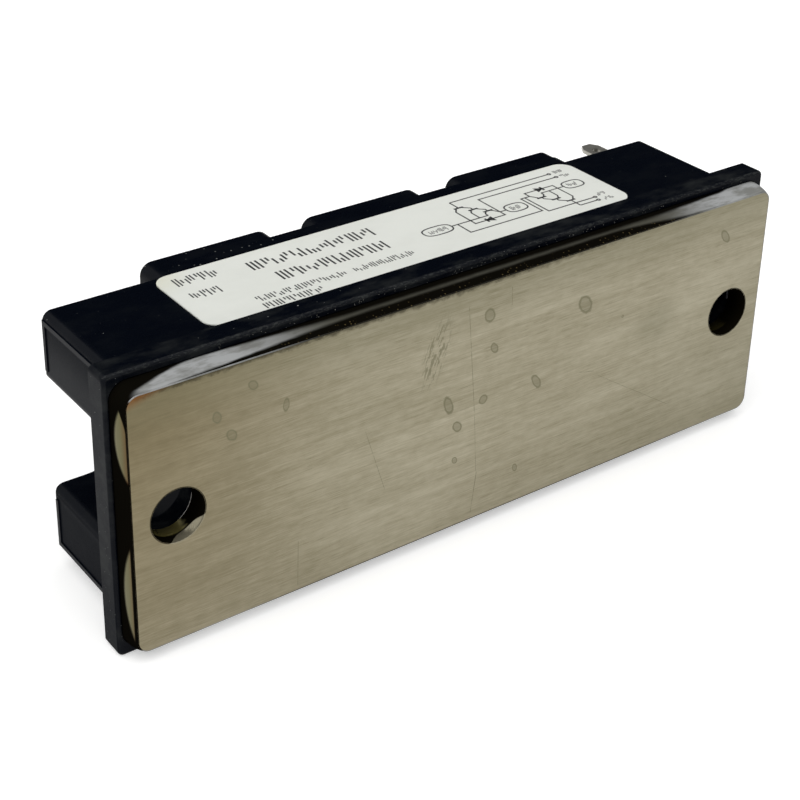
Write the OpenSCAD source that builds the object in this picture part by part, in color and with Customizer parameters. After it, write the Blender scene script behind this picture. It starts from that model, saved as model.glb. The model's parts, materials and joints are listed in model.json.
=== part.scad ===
// Potted darlington transistor module: a plated base plate, a moulded case with
// four ears, a cover with three terminal islands, and the chips inside.
// Each piece is drawn with the plate down, x along the length and z towards the
// terminals, then laid on its long side so that the label looks up.

/* [Mounting] */
// Distance between the two mounting holes
hole_pitch = 80; // [76:0.5:86]
// Diameter of the mounting holes
hole_d = 6.5; // [5.5:0.1:7]
// Width of the screw slots between the ears
slot_w = 13.7; // [12:0.1:14.4]

/* [Base plate] */
// Length of the base plate beyond each mounting hole
plate_end = 5.9; // [5.4:0.1:6.4]
// Width of the base plate
plate_w = 32.5; // [31:0.1:34]
// Thickness of the base plate
plate_t = 3; // [2.8:0.1:4]
// Height of the plate's face over the flange
plate_proud = 2.5; // [1.5:0.1:2.7]
// Corner radius of the base plate
plate_corner_r = 2; // [1.5:0.1:4]
// Radius of the curved sides round the plate's face
plate_side_r = 6; // [4:0.5:12]

/* [Case] */
// Width of the flange beyond the plate's ends
flange_end = 0.6; // [0.5:0.1:1.5]
// Width of the flange beyond the plate's sides
flange_side = 1; // [0.8:0.1:2]
// Thickness of the flange
flange_t = 3.1; // [2.4:0.1:4]
// Corner radius of the flange
flange_corner_r = 0.7; // [0.6:0.1:2]
// Length of the ears beyond each mounting hole
body_end = 4.1; // [3.7:0.1:5]
// Inset of the case's sides from the plate's sides
body_inset = 0.75; // [0.6:0.05:1]
// Corner radius of the case
body_corner_r = 1.2; // [0.6:0.1:2]
// Corner radius of the ears at the screw slots
ear_corner_r = 1.2; // [0.6:0.1:1.6]
// Height of the rim over the plate's face
rim_h = 21.7; // [20.5:0.1:24]
// Wall thickness of the case
wall = 2; // [1.6:0.1:2.4]
// Radius on the moulded edges
edge_r = 0.4; // [0.2:0.1:0.6]

/* [Terminal cover] */
// Room between the cover and each screw slot
cover_end = 2.55; // [1.8:0.05:4]
// Width of the notches between the islands
notch_w = 4.5; // [3.5:0.1:6]
// Shift of the row of islands towards the tabs
island_shift = 0.6; // [-0.4:0.1:0.8]
// Thickness of the cover in the notches
cover_t = 1.8; // [1.5:0.1:2.4]
// Height of the islands over the notches
island_h = 2.6; // [2.4:0.1:3.4]
// Corner radius of the islands
island_corner_r = 1.6; // [0.8:0.1:2.4]
// Depth of the cover's lip inside the rim
lip_h = 2; // [1:0.1:2.4]

/* [Terminals] */
// Width of the main terminals
terminal_w = 9; // [7:0.5:11]
// Thickness of the main terminals
terminal_t = 1; // [0.8:0.1:1.2]
// Diameter of the terminals' screw holes
terminal_hole_d = 5.5; // [4.6:0.1:6.4]
// Nut size across the flats
nut_af = 8; // [7.6:0.1:8.6]
// Height of the nuts
nut_h = 3.6; // [3:0.1:4]
// Bore of the nuts, before the thread
nut_bore_d = 4.2; // [3.4:0.1:5]

/* [Control tabs] */
// Width of the tabs
tab_w = 2.8; // [2.4:0.1:3]
// Thickness of the tabs
tab_t = 0.5; // [0.4:0.1:0.8]
// Height of the tabs over the rim
tab_h = 6.8; // [5:0.1:8.5]
// Diameter of the hole in a tab
tab_hole_d = 1.2; // [0.8:0.1:1.4]

/* [Label] */
// Length of the label
label_l = 60.7; // [40:0.1:64]
// Height of the label
label_h = 13.3; // [8:0.1:14.4]
// Thickness of the label
label_t = 0.12; // [0.08:0.02:0.3]
// Corner radius of the label
label_corner_r = 2; // [0.5:0.1:3]
// Shift of the label along the case
label_shift = -0.65; // [-5:0.05:5]

/* [Chips and wires] */
// Thickness of the ceramic insulators
ceramic_t = 0.64; // [0.4:0.02:1]
// Thickness of the copper pads
pad_t = 0.5; // [0.3:0.1:0.8]
// Thickness of the chips
chip_t = 0.4; // [0.3:0.1:0.6]
// Side of the transistor chips
transistor_l = 10; // [8:0.1:10.4]
// Side of the diode chips
diode_l = 6.5; // [5:0.1:6.9]
// Diameter of the bond wires
bond_d = 0.4; // [0.3:0.1:0.5]
// Diameter of the wires from the tabs
lead_d = 0.9; // [0.6:0.1:1.1]
// Depth of the gel over the plate
gel_h = 9.6; // [9.2:0.1:11]

/* [Hidden] */
$fn = 48;

// Clearances between pieces that fit together
plate_gap = 0.1;
hole_gap = 0.3;
lip_gap = 0.15;
slit_gap = 0.1;
nut_gap = 0.1;
pad_gap = 0.5;
// Overrun of a cut past the face it opens
cut = 1;

// Levels over the plate's face
flange_top = plate_proud + flange_t;
notch_top = rim_h + cover_t;
island_top = notch_top + island_h;
pad_z = plate_t + ceramic_t;
pad_top = pad_z + pad_t;
chip_top = pad_top + chip_t;
gel_top = plate_t + gel_h;

// Outlines round the mounting holes
hole_x = hole_pitch / 2;
plate_l = hole_pitch + 2 * plate_end;
flange_l = plate_l + 2 * flange_end;
flange_w = plate_w + 2 * flange_side;
body_l = hole_pitch + 2 * body_end;
body_w = plate_w - 2 * body_inset;

// Cavity of the case, and the pockets in the ears that open into it
cavity_l = hole_pitch - slot_w - 2 * wall;
cavity_w = body_w - 2 * wall;
cavity_top = rim_h - wall;
pocket_end = body_l / 2 - wall;
pocket_y = slot_w / 2 + wall;

// Groove and bead that seal the case to the plate
bead_w = 1;
bead_h = 0.5;
bead_l_mid = pocket_end + plate_l / 2;
bead_w_mid = (cavity_w + plate_w) / 2;

// Cover, its islands, its opening in the rim and its lip
cover_l = hole_pitch - slot_w - 2 * cover_end;
island_l = (cover_l - 2 * notch_w) / 3;
island_pitch = island_l + notch_w;
cover_right = island_shift + cover_l / 2;
rim_w = 2;
opening_l = cover_l - 2 * rim_w;
lip_t = 1.2;
island_step = 0.1;

// Main terminals, from the tongue on the island to the foot on its pad
bend_r = 0.5;
tongue_sink = 0.5;
tongue_front = 6.2;
tongue_z = island_top - tongue_sink;
foot_l = 2.2;
boss_wall = 0.8;
boss_gap = 0.3;
nut_corner_r = nut_af / 2 / cos(30) + nut_gap;
nut_floor = tongue_z - nut_h - nut_gap;
screw_room = 3;
boss_floor = 1;
bend_gap = 0.05;
slot_play = bend_r + bend_gap;
leg_y = nut_corner_r + boss_wall + boss_gap + slot_play;

// Control tabs: the outer ones at the end wall with their leads on the inner side, the
// inner ones beside the cover with their leads on the wall's side
shoulder_out = 0.35;
shoulder_w = tab_w + 2 * shoulder_out;
shoulder_h = 2.2;
tab_wall_gap = 0.4;
tab_end_gap = 0.15;
tab_cover_gap = 0.6;
tab_y = cavity_w / 2 - tab_wall_gap - tab_t / 2;
tab_inner_y = tab_y - tab_t - lead_d;
tab_outer_x = pocket_end - tab_end_gap - shoulder_w / 2;
tab_inner_x = cover_right + tab_cover_gap + tab_w / 2;
tab_tip_side = 0.7;
tab_tip_w = tab_w - 2 * tab_tip_side;
tab_tip_h = 1.1;
tab_hole_drop = 2.2;
tail_gap = 0.4;
tail_z = gel_top + tail_gap;
lead_lap = 2.6;
lead_bend_r = 1.2;
lead_y = tab_y - tab_t / 2 - lead_d / 2;
lead_low_sink = 4;
lead_high_sink = 1.4;
lead_low = gel_top - lead_low_sink;
lead_high = gel_top - lead_high_sink;
lead_foot_inset = 1;
lead_mid_inset = 2.5;

// Row of ceramics under the terminals
tile_gap = 0.6;
tile_side_gap = 0.35;
tile_w = cavity_w - 2 * tile_side_gap;
tile_end_gap = 1.5;
chip_inset = 0.5;
chip_space = 1.5;
chip_end = 1.2;
pad_inset = 0.8;
side_pad_l = chip_inset + transistor_l + chip_space + diode_l + chip_end;
side_tile_l = side_pad_l + 2 * pad_inset;
row_l = cover_l - 2 * tile_end_gap;
mid_tile_l = row_l - 2 * (side_tile_l + tile_gap);
side_tile_x = (row_l - side_tile_l) / 2;

// Pads on the ceramics, by their edges
pad_edge = 0.4;
pad_out_y = tile_w / 2 - pad_edge;
base_pad_w = 1.9;
base_pad_y = pad_out_y - base_pad_w;
collector_y = base_pad_y - pad_gap;
emitter_split = -1.7;
mid_pad_l = mid_tile_l - 2 * pad_inset;
mid_half = mid_pad_l / 2;
side_near = mid_tile_l / 2 + tile_gap + pad_inset;
side_far = side_near + side_pad_l;

// Chips on the collector pads, set from the middle ceramic outwards
chip_edge = 0.7;
chip_y_1 = chip_edge + transistor_l / 2 - collector_y;
chip_y_2 = 0;
transistor_off = side_near + chip_inset + transistor_l / 2;
diode_off = transistor_off + transistor_l / 2 + chip_space + diode_l / 2;

// Ends of the base pads along the row, and the place of the emitter leads
base_pad_1_back = 1.5;
base_pad_1_reach = 3;
base_pad_2_back = 2.5;
base_pad_2_reach = 3.5;
base_pad_1_x = [island_shift + transistor_off - base_pad_1_back,
                island_shift + diode_off + base_pad_1_reach];
base_pad_2_x = [island_shift - transistor_off - base_pad_2_back,
                island_shift - transistor_off + base_pad_2_reach];
emitter_lead_x = island_shift + mid_half - lead_mid_inset;

// Bond wires
emitter_wires = 4;
diode_wires = 3;
wire_step = 1.2;
wire_land = 1.2;
wire_inset = 2.5;
wire_edge = 1;
base_land = 0.6;

// Strap from the upper emitter to the lower collector
strap_w = 4;
strap_t = 0.6;
strap_foot = 2.2;
strap_rise = 1.6;
strap_inset = 1.6;

// Colours
mould_black = [0.035, 0.04, 0.045];
nickel = [0.62, 0.6, 0.54];
tinned = [0.72, 0.72, 0.7];
copper = [0.78, 0.46, 0.3];
alumina = [0.93, 0.92, 0.88];
silicon = [0.32, 0.34, 0.38];
aluminium = [0.8, 0.81, 0.82];
label_white = [0.83, 0.84, 0.8];
sealant = [0.2, 0.2, 0.21];
clear_gel = [0.78, 0.82, 0.8, 0.5];

function terminal_x(i) = island_shift + (i - 1) * island_pitch;

// Lays the module on its long side, plate to the front and label on top
module laid() {
    rotate([-90, 0, 0])
        children();
}

// Rectangle with round corners, centred
module round_rect(l, w, r) {
    square([l - 2 * r, w], center = true);
    square([l, w - 2 * r], center = true);
    for (x = [-1, 1], y = [-1, 1])
        translate([x * (l / 2 - r), y * (w / 2 - r)])
            circle(r);
}

// Upright slab with round corners in plan
module round_slab(l, w, h, r) {
    linear_extrude(h)
        round_rect(l, w, r);
}

// Half section of a slab whose upper outer edge is rolled over
module rolled_edge(w, h, roll) {
    square([w - roll, h]);
    square([w, h - roll]);
    translate([w - roll, h - roll])
        circle(roll);
}

// Half section of a slab whose sides curve inwards over the given drop below the top
module curved_edge(w, h, drop, side_r) {
    square([w, h - drop]);
    intersection() {
        square([w, h]);
        translate([w - side_r, h - drop])
            circle(side_r);
    }
}

// Slab with round corners in plan, drawn from the half section of its edge
module edged_slab(l, w, h, corner) {
    dx = l / 2 - corner;
    dy = w / 2 - corner;
    translate([-dx, -dy, 0])
        cube([2 * dx, 2 * dy, h]);
    for (side = [0, 1]) {
        mirror([0, side, 0])
            translate([-dx, dy, 0])
                rotate([90, 0, 90])
                    linear_extrude(2 * dx)
                        children();
        mirror([side, 0, 0])
            translate([dx, dy, 0])
                rotate([90, 0, 0])
                    linear_extrude(2 * dy)
                        children();
    }
    for (turn = [0:3])
        translate([(turn == 0 || turn == 3 ? 1 : -1) * dx, (turn < 2 ? 1 : -1) * dy, 0])
            rotate(90 * turn)
                rotate_extrude(angle = 90)
                    children();
}

// Slab with round corners in plan and its upper edge rolled over all round
module rolled_slab(l, w, h, corner, roll) {
    edged_slab(l, w, h, corner)
        rolled_edge(corner, h, roll);
}

// Bores at the two mounting positions
module mounting_bores(d, z, h) {
    for (side = [-1, 1])
        translate([side * hole_x, 0, z])
            cylinder(d = d, h = h);
}

// Base plate, its face downwards and its sides curved where they stand out of the flange
module heat_sink_plate() {
    color(nickel)
        laid()
            difference() {
                translate([0, 0, plate_t])
                    mirror([0, 0, 1])
                        edged_slab(plate_l, plate_w, plate_t, plate_corner_r)
                            curved_edge(plate_corner_r, plate_t, plate_proud, plate_side_r);
                mounting_bores(hole_d, -cut, plate_t + 2 * cut);
            }
}

// Inside of the case: the middle room and a pocket in each ear
module cavity(z, h) {
    translate([-cavity_l / 2, -cavity_w / 2, z])
        cube([cavity_l, cavity_w, h]);
    for (x = [0, 1], y = [0, 1])
        mirror([x, 0, 0])
            mirror([0, y, 0])
                translate([cavity_l / 2 - wall, pocket_y, z])
                    cube([pocket_end - cavity_l / 2 + wall, cavity_w / 2 - pocket_y, h]);
}

// Screw slots between the ears, open to the ends and to the top
module screw_slots() {
    slot_out = flange_l / 2 - hole_x + cut;
    for (side = [0, 1])
        mirror([side, 0, 0])
            translate([hole_x, 0, flange_top]) {
                cylinder(d = slot_w, h = rim_h);
                translate([0, -slot_w / 2, 0])
                    cube([slot_out, slot_w, rim_h]);
                for (wing = [0, 1])
                    mirror([0, wing, 0])
                        translate([body_end - ear_corner_r, slot_w / 2 + ear_corner_r, 0])
                            linear_extrude(rim_h)
                                difference() {
                                    translate([0, -ear_corner_r])
                                        square([ear_corner_r + cut, ear_corner_r]);
                                    circle(ear_corner_r);
                                }
            }
}

// Ring of the sealing groove
module bead_ring() {
    translate([0, 0, plate_t])
        linear_extrude(bead_h)
            difference() {
                square([bead_l_mid + bead_w, bead_w_mid + bead_w], center = true);
                square([bead_l_mid - bead_w, bead_w_mid - bead_w], center = true);
            }
}

// Places of the four control tabs: near side for the first transistor
module at_tab(outer, near) {
    y = outer ? tab_y : tab_inner_y;
    translate([outer ? tab_outer_x : tab_inner_x, near ? -y : y, 0])
        children();
}

// Case: flange, walls and ears, closed at the bottom by the plate
module case() {
    color(mould_black)
        laid()
            difference() {
                union() {
                    translate([0, 0, flange_top])
                        mirror([0, 0, 1])
                            rolled_slab(flange_l, flange_w, flange_t, flange_corner_r, edge_r);
                    translate([0, 0, plate_t])
                        rolled_slab(body_l, body_w, rim_h - plate_t, body_corner_r, edge_r);
                }
                round_slab(plate_l + 2 * plate_gap, plate_w + 2 * plate_gap, plate_t,
                           plate_corner_r + plate_gap);
                mounting_bores(hole_d + 2 * hole_gap, 0, rim_h);
                screw_slots();
                cavity(plate_t - cut, cavity_top - plate_t + cut);
                translate([island_shift - opening_l / 2, -cavity_w / 2, cavity_top - cut])
                    cube([opening_l, cavity_w, wall + 2 * cut]);
                for (outer = [false, true], near = [false, true])
                    at_tab(outer, near)
                        translate([0, 0, rim_h - wall / 2])
                            cube([tab_w + 2 * slit_gap, tab_t + 2 * slit_gap, wall + 2 * cut],
                                 center = true);
                bead_ring();
            }
}

// Cover: a plate on the rim, three islands, a lip, and a boss under each nut
module terminal_cover() {
    lip_l = opening_l - 2 * lip_gap;
    lip_w = cavity_w - 2 * lip_gap;
    boss_bottom = nut_floor - screw_room - boss_floor;
    color(mould_black)
        laid()
            difference() {
                union() {
                    translate([island_shift, 0, rim_h])
                        round_slab(cover_l, body_w, cover_t, island_corner_r);
                    for (i = [0:2])
                        translate([terminal_x(i), 0, 0]) {
                            translate([0, 0, notch_top])
                                rolled_slab(island_l - 2 * island_step, body_w - 2 * island_step,
                                            island_h, island_corner_r, edge_r);
                            translate([0, 0, boss_bottom])
                                cylinder(r = nut_corner_r + boss_wall, h = rim_h - boss_bottom + cut);
                        }
                    translate([island_shift, 0, rim_h - lip_h])
                        linear_extrude(lip_h + cut)
                            difference() {
                                square([lip_l, lip_w], center = true);
                                square([lip_l - 2 * lip_t, lip_w - 2 * lip_t], center = true);
                            }
                }
                for (i = [0:2])
                    translate([terminal_x(i), 0, 0])
                        terminal_seat();
            }
}

// Cut in an island for the terminal's tongue and leg, the nut and the screw's end
module terminal_seat() {
    seat_w = terminal_w + 2 * slit_gap;
    seat_front = tongue_front + slit_gap;
    seat_back = leg_y + terminal_t + slit_gap;
    translate([-seat_w / 2, -seat_front, tongue_z])
        cube([seat_w, seat_front + seat_back, island_h]);
    translate([-seat_w / 2, leg_y - slot_play, rim_h - cut])
        cube([seat_w, seat_back - leg_y + slot_play, island_top]);
    translate([0, 0, nut_floor])
        cylinder(r = nut_corner_r, h = island_top, $fn = 6);
    translate([0, 0, nut_floor - screw_room])
        cylinder(d = terminal_hole_d, h = island_top);
}

// Label on the near long side of the case, just under the rim
module label() {
    color(label_white)
        laid()
            translate([label_shift, -body_w / 2, rim_h - edge_r - label_h / 2])
                rotate([90, 0, 0])
                    round_slab(label_l, label_h, label_t, label_corner_r);
}

// Quarter of a flat ring, from angle start
module bend(r, t, start) {
    rotate(start)
        intersection() {
            difference() {
                circle(r + t);
                circle(r);
            }
            square(r + t + cut);
        }
}

// Side view of a main terminal: tongue, leg and foot of one bent strip
module terminal_profile() {
    t = terminal_t;
    leg_low = pad_top + t + bend_r;
    leg_high = tongue_z - bend_r;
    translate([-tongue_front, tongue_z])
        square([tongue_front + leg_y - bend_r, t]);
    translate([leg_y - bend_r, leg_high])
        bend(bend_r, t, 0);
    translate([leg_y, leg_low])
        square([t, leg_high - leg_low]);
    translate([leg_y + t + bend_r, leg_low])
        bend(bend_r, t, 180);
    translate([leg_y + t + bend_r, pad_top])
        square([foot_l - bend_r, t]);
}

// Main terminal in island i, with the screw hole in its tongue
module main_terminal(i) {
    color(tinned)
        laid()
            translate([terminal_x(i), 0, 0])
                difference() {
                    translate([-terminal_w / 2, 0, 0])
                        rotate([90, 0, 90])
                            linear_extrude(terminal_w)
                                terminal_profile();
                    translate([0, 0, tongue_z - cut])
                        cylinder(d = terminal_hole_d, h = terminal_t + 2 * cut);
                }
}

module terminal_common() main_terminal(0);
module terminal_emitter() main_terminal(1);
module terminal_collector() main_terminal(2);

// Captive nut in its pocket in island i
module captive_nut(i) {
    color(tinned)
        laid()
            translate([terminal_x(i), 0, nut_floor])
                difference() {
                    cylinder(r = nut_corner_r - nut_gap, h = nut_h, $fn = 6);
                    translate([0, 0, -cut])
                        cylinder(d = nut_bore_d, h = nut_h + 2 * cut);
                }
}

module nut_common() captive_nut(0);
module nut_emitter() captive_nut(1);
module nut_collector() captive_nut(2);

// Control tab: a flat blade with a pointed tip and shoulders under the ear's roof
module control_tab(outer, near) {
    tip = rim_h + tab_h;
    blade = tip - tab_tip_h;
    color(tinned)
        laid()
            at_tab(outer, near)
                translate([0, tab_t / 2, 0])
                    rotate([90, 0, 0])
                        linear_extrude(tab_t)
                            difference() {
                                union() {
                                    polygon([
                                        [-tab_w / 2, tail_z], [tab_w / 2, tail_z],
                                        [tab_w / 2, blade], [tab_tip_w / 2, tip],
                                        [-tab_tip_w / 2, tip], [-tab_w / 2, blade]
                                    ]);
                                    translate([-shoulder_w / 2, cavity_top - shoulder_h])
                                        square([shoulder_w, shoulder_h]);
                                }
                                translate([0, tip - tab_hole_drop])
                                    circle(d = tab_hole_d);
                            }
}

module tab_base_1() control_tab(true, true);
module tab_emitter_1() control_tab(false, true);
module tab_base_2() control_tab(false, false);
module tab_emitter_2() control_tab(true, false);

// Round wire turning a right angle, from pointing up at the start to the left
module lead_bend() {
    rotate([90, 0, 0])
        rotate_extrude(angle = 90)
            translate([lead_bend_r, 0])
                circle(d = lead_d);
}

// Wire from a tab's tail down into the gel, along the wall and down to a pad
module tab_lead(outer, near, run_z, pad_x) {
    tail_x = outer ? tab_outer_x : tab_inner_x;
    r = lead_bend_r;
    color(copper)
        laid()
            translate([0, near ? -lead_y : lead_y, 0]) {
                translate([tail_x, 0, run_z + r])
                    cylinder(d = lead_d, h = tail_z + lead_lap - run_z - r);
                translate([tail_x - r, 0, run_z + r])
                    mirror([0, 0, 1])
                        lead_bend();
                translate([pad_x + r, 0, run_z])
                    rotate([0, 90, 0])
                        cylinder(d = lead_d, h = tail_x - pad_x - 2 * r);
                translate([pad_x + r, 0, run_z - r])
                    mirror([1, 0, 0])
                        lead_bend();
                translate([pad_x, 0, pad_top])
                    cylinder(d = lead_d, h = run_z - r - pad_top);
            }
}

module lead_base_1() tab_lead(true, true, lead_low, base_pad_1_x[1] - lead_foot_inset);
module lead_emitter_1() tab_lead(false, true, lead_high, emitter_lead_x);
module lead_base_2() tab_lead(false, false, lead_high, base_pad_2_x[1] - lead_foot_inset);
module lead_emitter_2() tab_lead(true, false, lead_low, emitter_lead_x);

// Ceramic insulator on the plate's inner face
module ceramic(x, l) {
    color(alumina)
        laid()
            translate([x - l / 2, -tile_w / 2, plate_t])
                cube([l, tile_w, ceramic_t]);
}

module ceramic_left() ceramic(island_shift - side_tile_x, side_tile_l);
module ceramic_mid() ceramic(island_shift, mid_tile_l);
module ceramic_right() ceramic(island_shift + side_tile_x, side_tile_l);

// Copper pad between two corners on a ceramic
module pad(x0, x1, y0, y1) {
    color(copper)
        laid()
            translate([x0, y0, pad_z])
                cube([x1 - x0, y1 - y0, pad_t]);
}

module collector_pad_1() pad(island_shift + side_near, island_shift + side_far, -collector_y, pad_out_y);
module collector_pad_2() pad(island_shift - side_far, island_shift - side_near, -pad_out_y, collector_y);
module emitter_pad_1()
    pad(island_shift - mid_half, island_shift + mid_half, -pad_out_y, emitter_split - pad_gap);
module emitter_pad_2()
    pad(island_shift - mid_half, island_shift + mid_half, emitter_split, pad_out_y);
module base_pad_1() pad(base_pad_1_x[0], base_pad_1_x[1], -pad_out_y, -base_pad_y);
module base_pad_2() pad(base_pad_2_x[0], base_pad_2_x[1], base_pad_y, pad_out_y);

// Square chip on a collector pad
module chip(x, y, side) {
    color(silicon)
        laid()
            translate([x - side / 2, y - side / 2, pad_top])
                cube([side, side, chip_t]);
}

module transistor_chip_1() chip(island_shift + transistor_off, chip_y_1, transistor_l);
module transistor_chip_2() chip(island_shift - transistor_off, chip_y_2, transistor_l);
module diode_chip_1() chip(island_shift + diode_off, chip_y_1, diode_l);
module diode_chip_2() chip(island_shift - diode_off, chip_y_2, diode_l);

// Bond wire: half a ring of the given span along x, its far end let down by drop
module bond_loop(span, drop) {
    rotate([90, 0, 0])
        rotate_extrude(angle = 180)
            translate([span / 2, 0])
                circle(d = bond_d, $fn = 16);
    translate([span / 2, 0, -drop])
        cylinder(d = bond_d, h = drop, $fn = 16);
}

// Bond wires of one transistor: emitter, diode and base; side is 1 or -1 along x
module bond_wires(side, chip_y, wire_y, base_side) {
    emitter_from = transistor_off - transistor_l / 2 + wire_inset;
    emitter_to = mid_half - wire_land;
    stitch_from = transistor_off + transistor_l / 2 - wire_land;
    stitch_to = diode_off - diode_l / 2 + wire_land;
    base_from = chip_y + base_side * (transistor_l / 2 - wire_land);
    base_to = base_side * (base_pad_y + base_land);
    color(aluminium)
        laid()
            translate([island_shift, 0, chip_top])
                mirror([side > 0 ? 0 : 1, 0, 0]) {
                    for (i = [0:emitter_wires - 1])
                        translate([(emitter_from + emitter_to) / 2, wire_y + i * wire_step, 0])
                            rotate(180)
                                bond_loop(emitter_from - emitter_to, chip_t);
                    for (i = [0:diode_wires - 1])
                        translate([(stitch_from + stitch_to) / 2,
                                   chip_y + (i - (diode_wires - 1) / 2) * wire_step, 0])
                            bond_loop(stitch_to - stitch_from, 0);
                    translate([transistor_off, (base_from + base_to) / 2, 0])
                        rotate(90 * base_side)
                            bond_loop(abs(base_to - base_from), chip_t);
                }
}

module bond_wires_1()
    bond_wires(1, chip_y_1, emitter_split - pad_gap - wire_edge - (emitter_wires - 1) * wire_step, -1);
module bond_wires_2() bond_wires(-1, chip_y_2, emitter_split + wire_edge, 1);

// Strap: two feet and a raised bridge over the gap between two ceramics
module link_strap() {
    x0 = island_shift - side_near - pad_gap - strap_foot;
    x1 = island_shift - mid_half + pad_gap + strap_foot;
    length = x1 - x0;
    color(copper)
        laid()
            translate([x0, strap_w + strap_inset - pad_out_y, pad_top])
                rotate([90, 0, 0])
                    linear_extrude(strap_w)
                        difference() {
                            square([length, strap_rise]);
                            translate([strap_foot, 0])
                                square([length - 2 * strap_foot, strap_rise - strap_t]);
                            for (x = [-strap_t, length - strap_foot + strap_t])
                                translate([x, strap_t])
                                    square([strap_foot, strap_rise]);
                        }
}

// Adhesive in the groove between the case and the plate
module seal_bead() {
    color(sealant)
        laid()
            bead_ring();
}

// Everything that stands in the gel
module potted_pieces() {
    ceramic_left();
    ceramic_mid();
    ceramic_right();
    collector_pad_1();
    collector_pad_2();
    emitter_pad_1();
    emitter_pad_2();
    base_pad_1();
    base_pad_2();
    transistor_chip_1();
    transistor_chip_2();
    diode_chip_1();
    diode_chip_2();
    bond_wires_1();
    bond_wires_2();
    link_strap();
    lead_base_1();
    lead_emitter_1();
    lead_base_2();
    lead_emitter_2();
    for (i = [0:2])
        main_terminal(i);
}

// Gel over the plate and round the chips
module silicone_gel() {
    color(clear_gel)
        difference() {
            laid()
                cavity(plate_t, gel_h);
            potted_pieces();
        }
}

heat_sink_plate();
case();
terminal_cover();
label();
terminal_common();
terminal_emitter();
terminal_collector();
nut_common();
nut_emitter();
nut_collector();
tab_base_1();
tab_emitter_1();
tab_base_2();
tab_emitter_2();
lead_base_1();
lead_emitter_1();
lead_base_2();
lead_emitter_2();
ceramic_left();
ceramic_mid();
ceramic_right();
collector_pad_1();
collector_pad_2();
emitter_pad_1();
emitter_pad_2();
base_pad_1();
base_pad_2();
transistor_chip_1();
transistor_chip_2();
diode_chip_1();
diode_chip_2();
bond_wires_1();
bond_wires_2();
link_strap();
seal_bead();
silicone_gel();
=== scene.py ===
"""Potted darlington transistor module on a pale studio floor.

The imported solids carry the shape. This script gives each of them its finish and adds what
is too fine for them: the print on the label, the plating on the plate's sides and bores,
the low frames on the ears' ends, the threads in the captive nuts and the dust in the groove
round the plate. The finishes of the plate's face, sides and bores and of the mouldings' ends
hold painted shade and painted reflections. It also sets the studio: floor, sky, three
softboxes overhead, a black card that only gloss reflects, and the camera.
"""

import json
import logging
import math
from dataclasses import dataclass
from enum import Enum
from functools import reduce
from typing import Any, Callable, Dict, List, Optional, Sequence, Tuple, Union

import bpy
import numpy as np
from mathutils import Matrix, Vector


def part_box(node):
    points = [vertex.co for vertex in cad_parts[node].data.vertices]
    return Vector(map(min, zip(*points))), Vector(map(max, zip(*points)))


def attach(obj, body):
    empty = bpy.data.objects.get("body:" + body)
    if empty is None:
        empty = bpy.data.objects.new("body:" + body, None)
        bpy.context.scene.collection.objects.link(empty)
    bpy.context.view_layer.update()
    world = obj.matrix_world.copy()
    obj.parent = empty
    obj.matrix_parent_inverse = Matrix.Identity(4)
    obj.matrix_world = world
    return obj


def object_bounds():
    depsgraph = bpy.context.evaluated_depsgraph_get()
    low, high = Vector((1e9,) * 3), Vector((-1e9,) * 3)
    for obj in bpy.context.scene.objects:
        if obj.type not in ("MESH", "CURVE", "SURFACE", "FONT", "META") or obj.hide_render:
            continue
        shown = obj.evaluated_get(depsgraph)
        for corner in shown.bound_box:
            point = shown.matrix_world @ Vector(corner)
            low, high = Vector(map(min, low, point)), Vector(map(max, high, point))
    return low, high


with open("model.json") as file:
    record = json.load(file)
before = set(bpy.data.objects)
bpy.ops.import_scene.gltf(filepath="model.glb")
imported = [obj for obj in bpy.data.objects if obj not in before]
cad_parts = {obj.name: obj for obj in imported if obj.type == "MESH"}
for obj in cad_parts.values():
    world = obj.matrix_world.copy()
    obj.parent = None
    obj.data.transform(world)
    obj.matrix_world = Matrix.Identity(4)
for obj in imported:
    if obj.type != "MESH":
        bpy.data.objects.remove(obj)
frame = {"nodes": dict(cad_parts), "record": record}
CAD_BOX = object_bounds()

LOG = logging.getLogger("module")
MM = 0.001
BODY = "root"
# Scale that takes an axis out of a distance.
FLAT = 1e6
ALONG_Y = np.array([0.0, 1.0, 0.0])
ALONG_Z = np.array([0.0, 0.0, 1.0])

Colour = Tuple[float, float, float]
Point2 = Tuple[float, float]
Point3 = Tuple[float, float, float]
Operand = Union["Value", float, int]
Material = bpy.types.Material


class Slot(Enum):
    """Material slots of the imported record."""

    PLATE = "nickel_plate"
    CASE = "case_moulding"
    COVER = "cover_moulding"
    LABEL = "label_film"
    TERMINAL = "tinned_copper"
    NUT = "zinc_steel"
    TAB = "tinned_brass"
    COPPER = "copper"
    ALUMINA = "alumina"
    SILICON = "silicon"
    WIRE = "bond_wire"
    SEALANT = "sealant"
    GEL = "gel"


def operator(operation: str) -> Callable[..., "Value"]:
    """A method that adds a Math node to a value and its other operands."""
    return lambda value, *others: value.maths(operation, *others)


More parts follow.
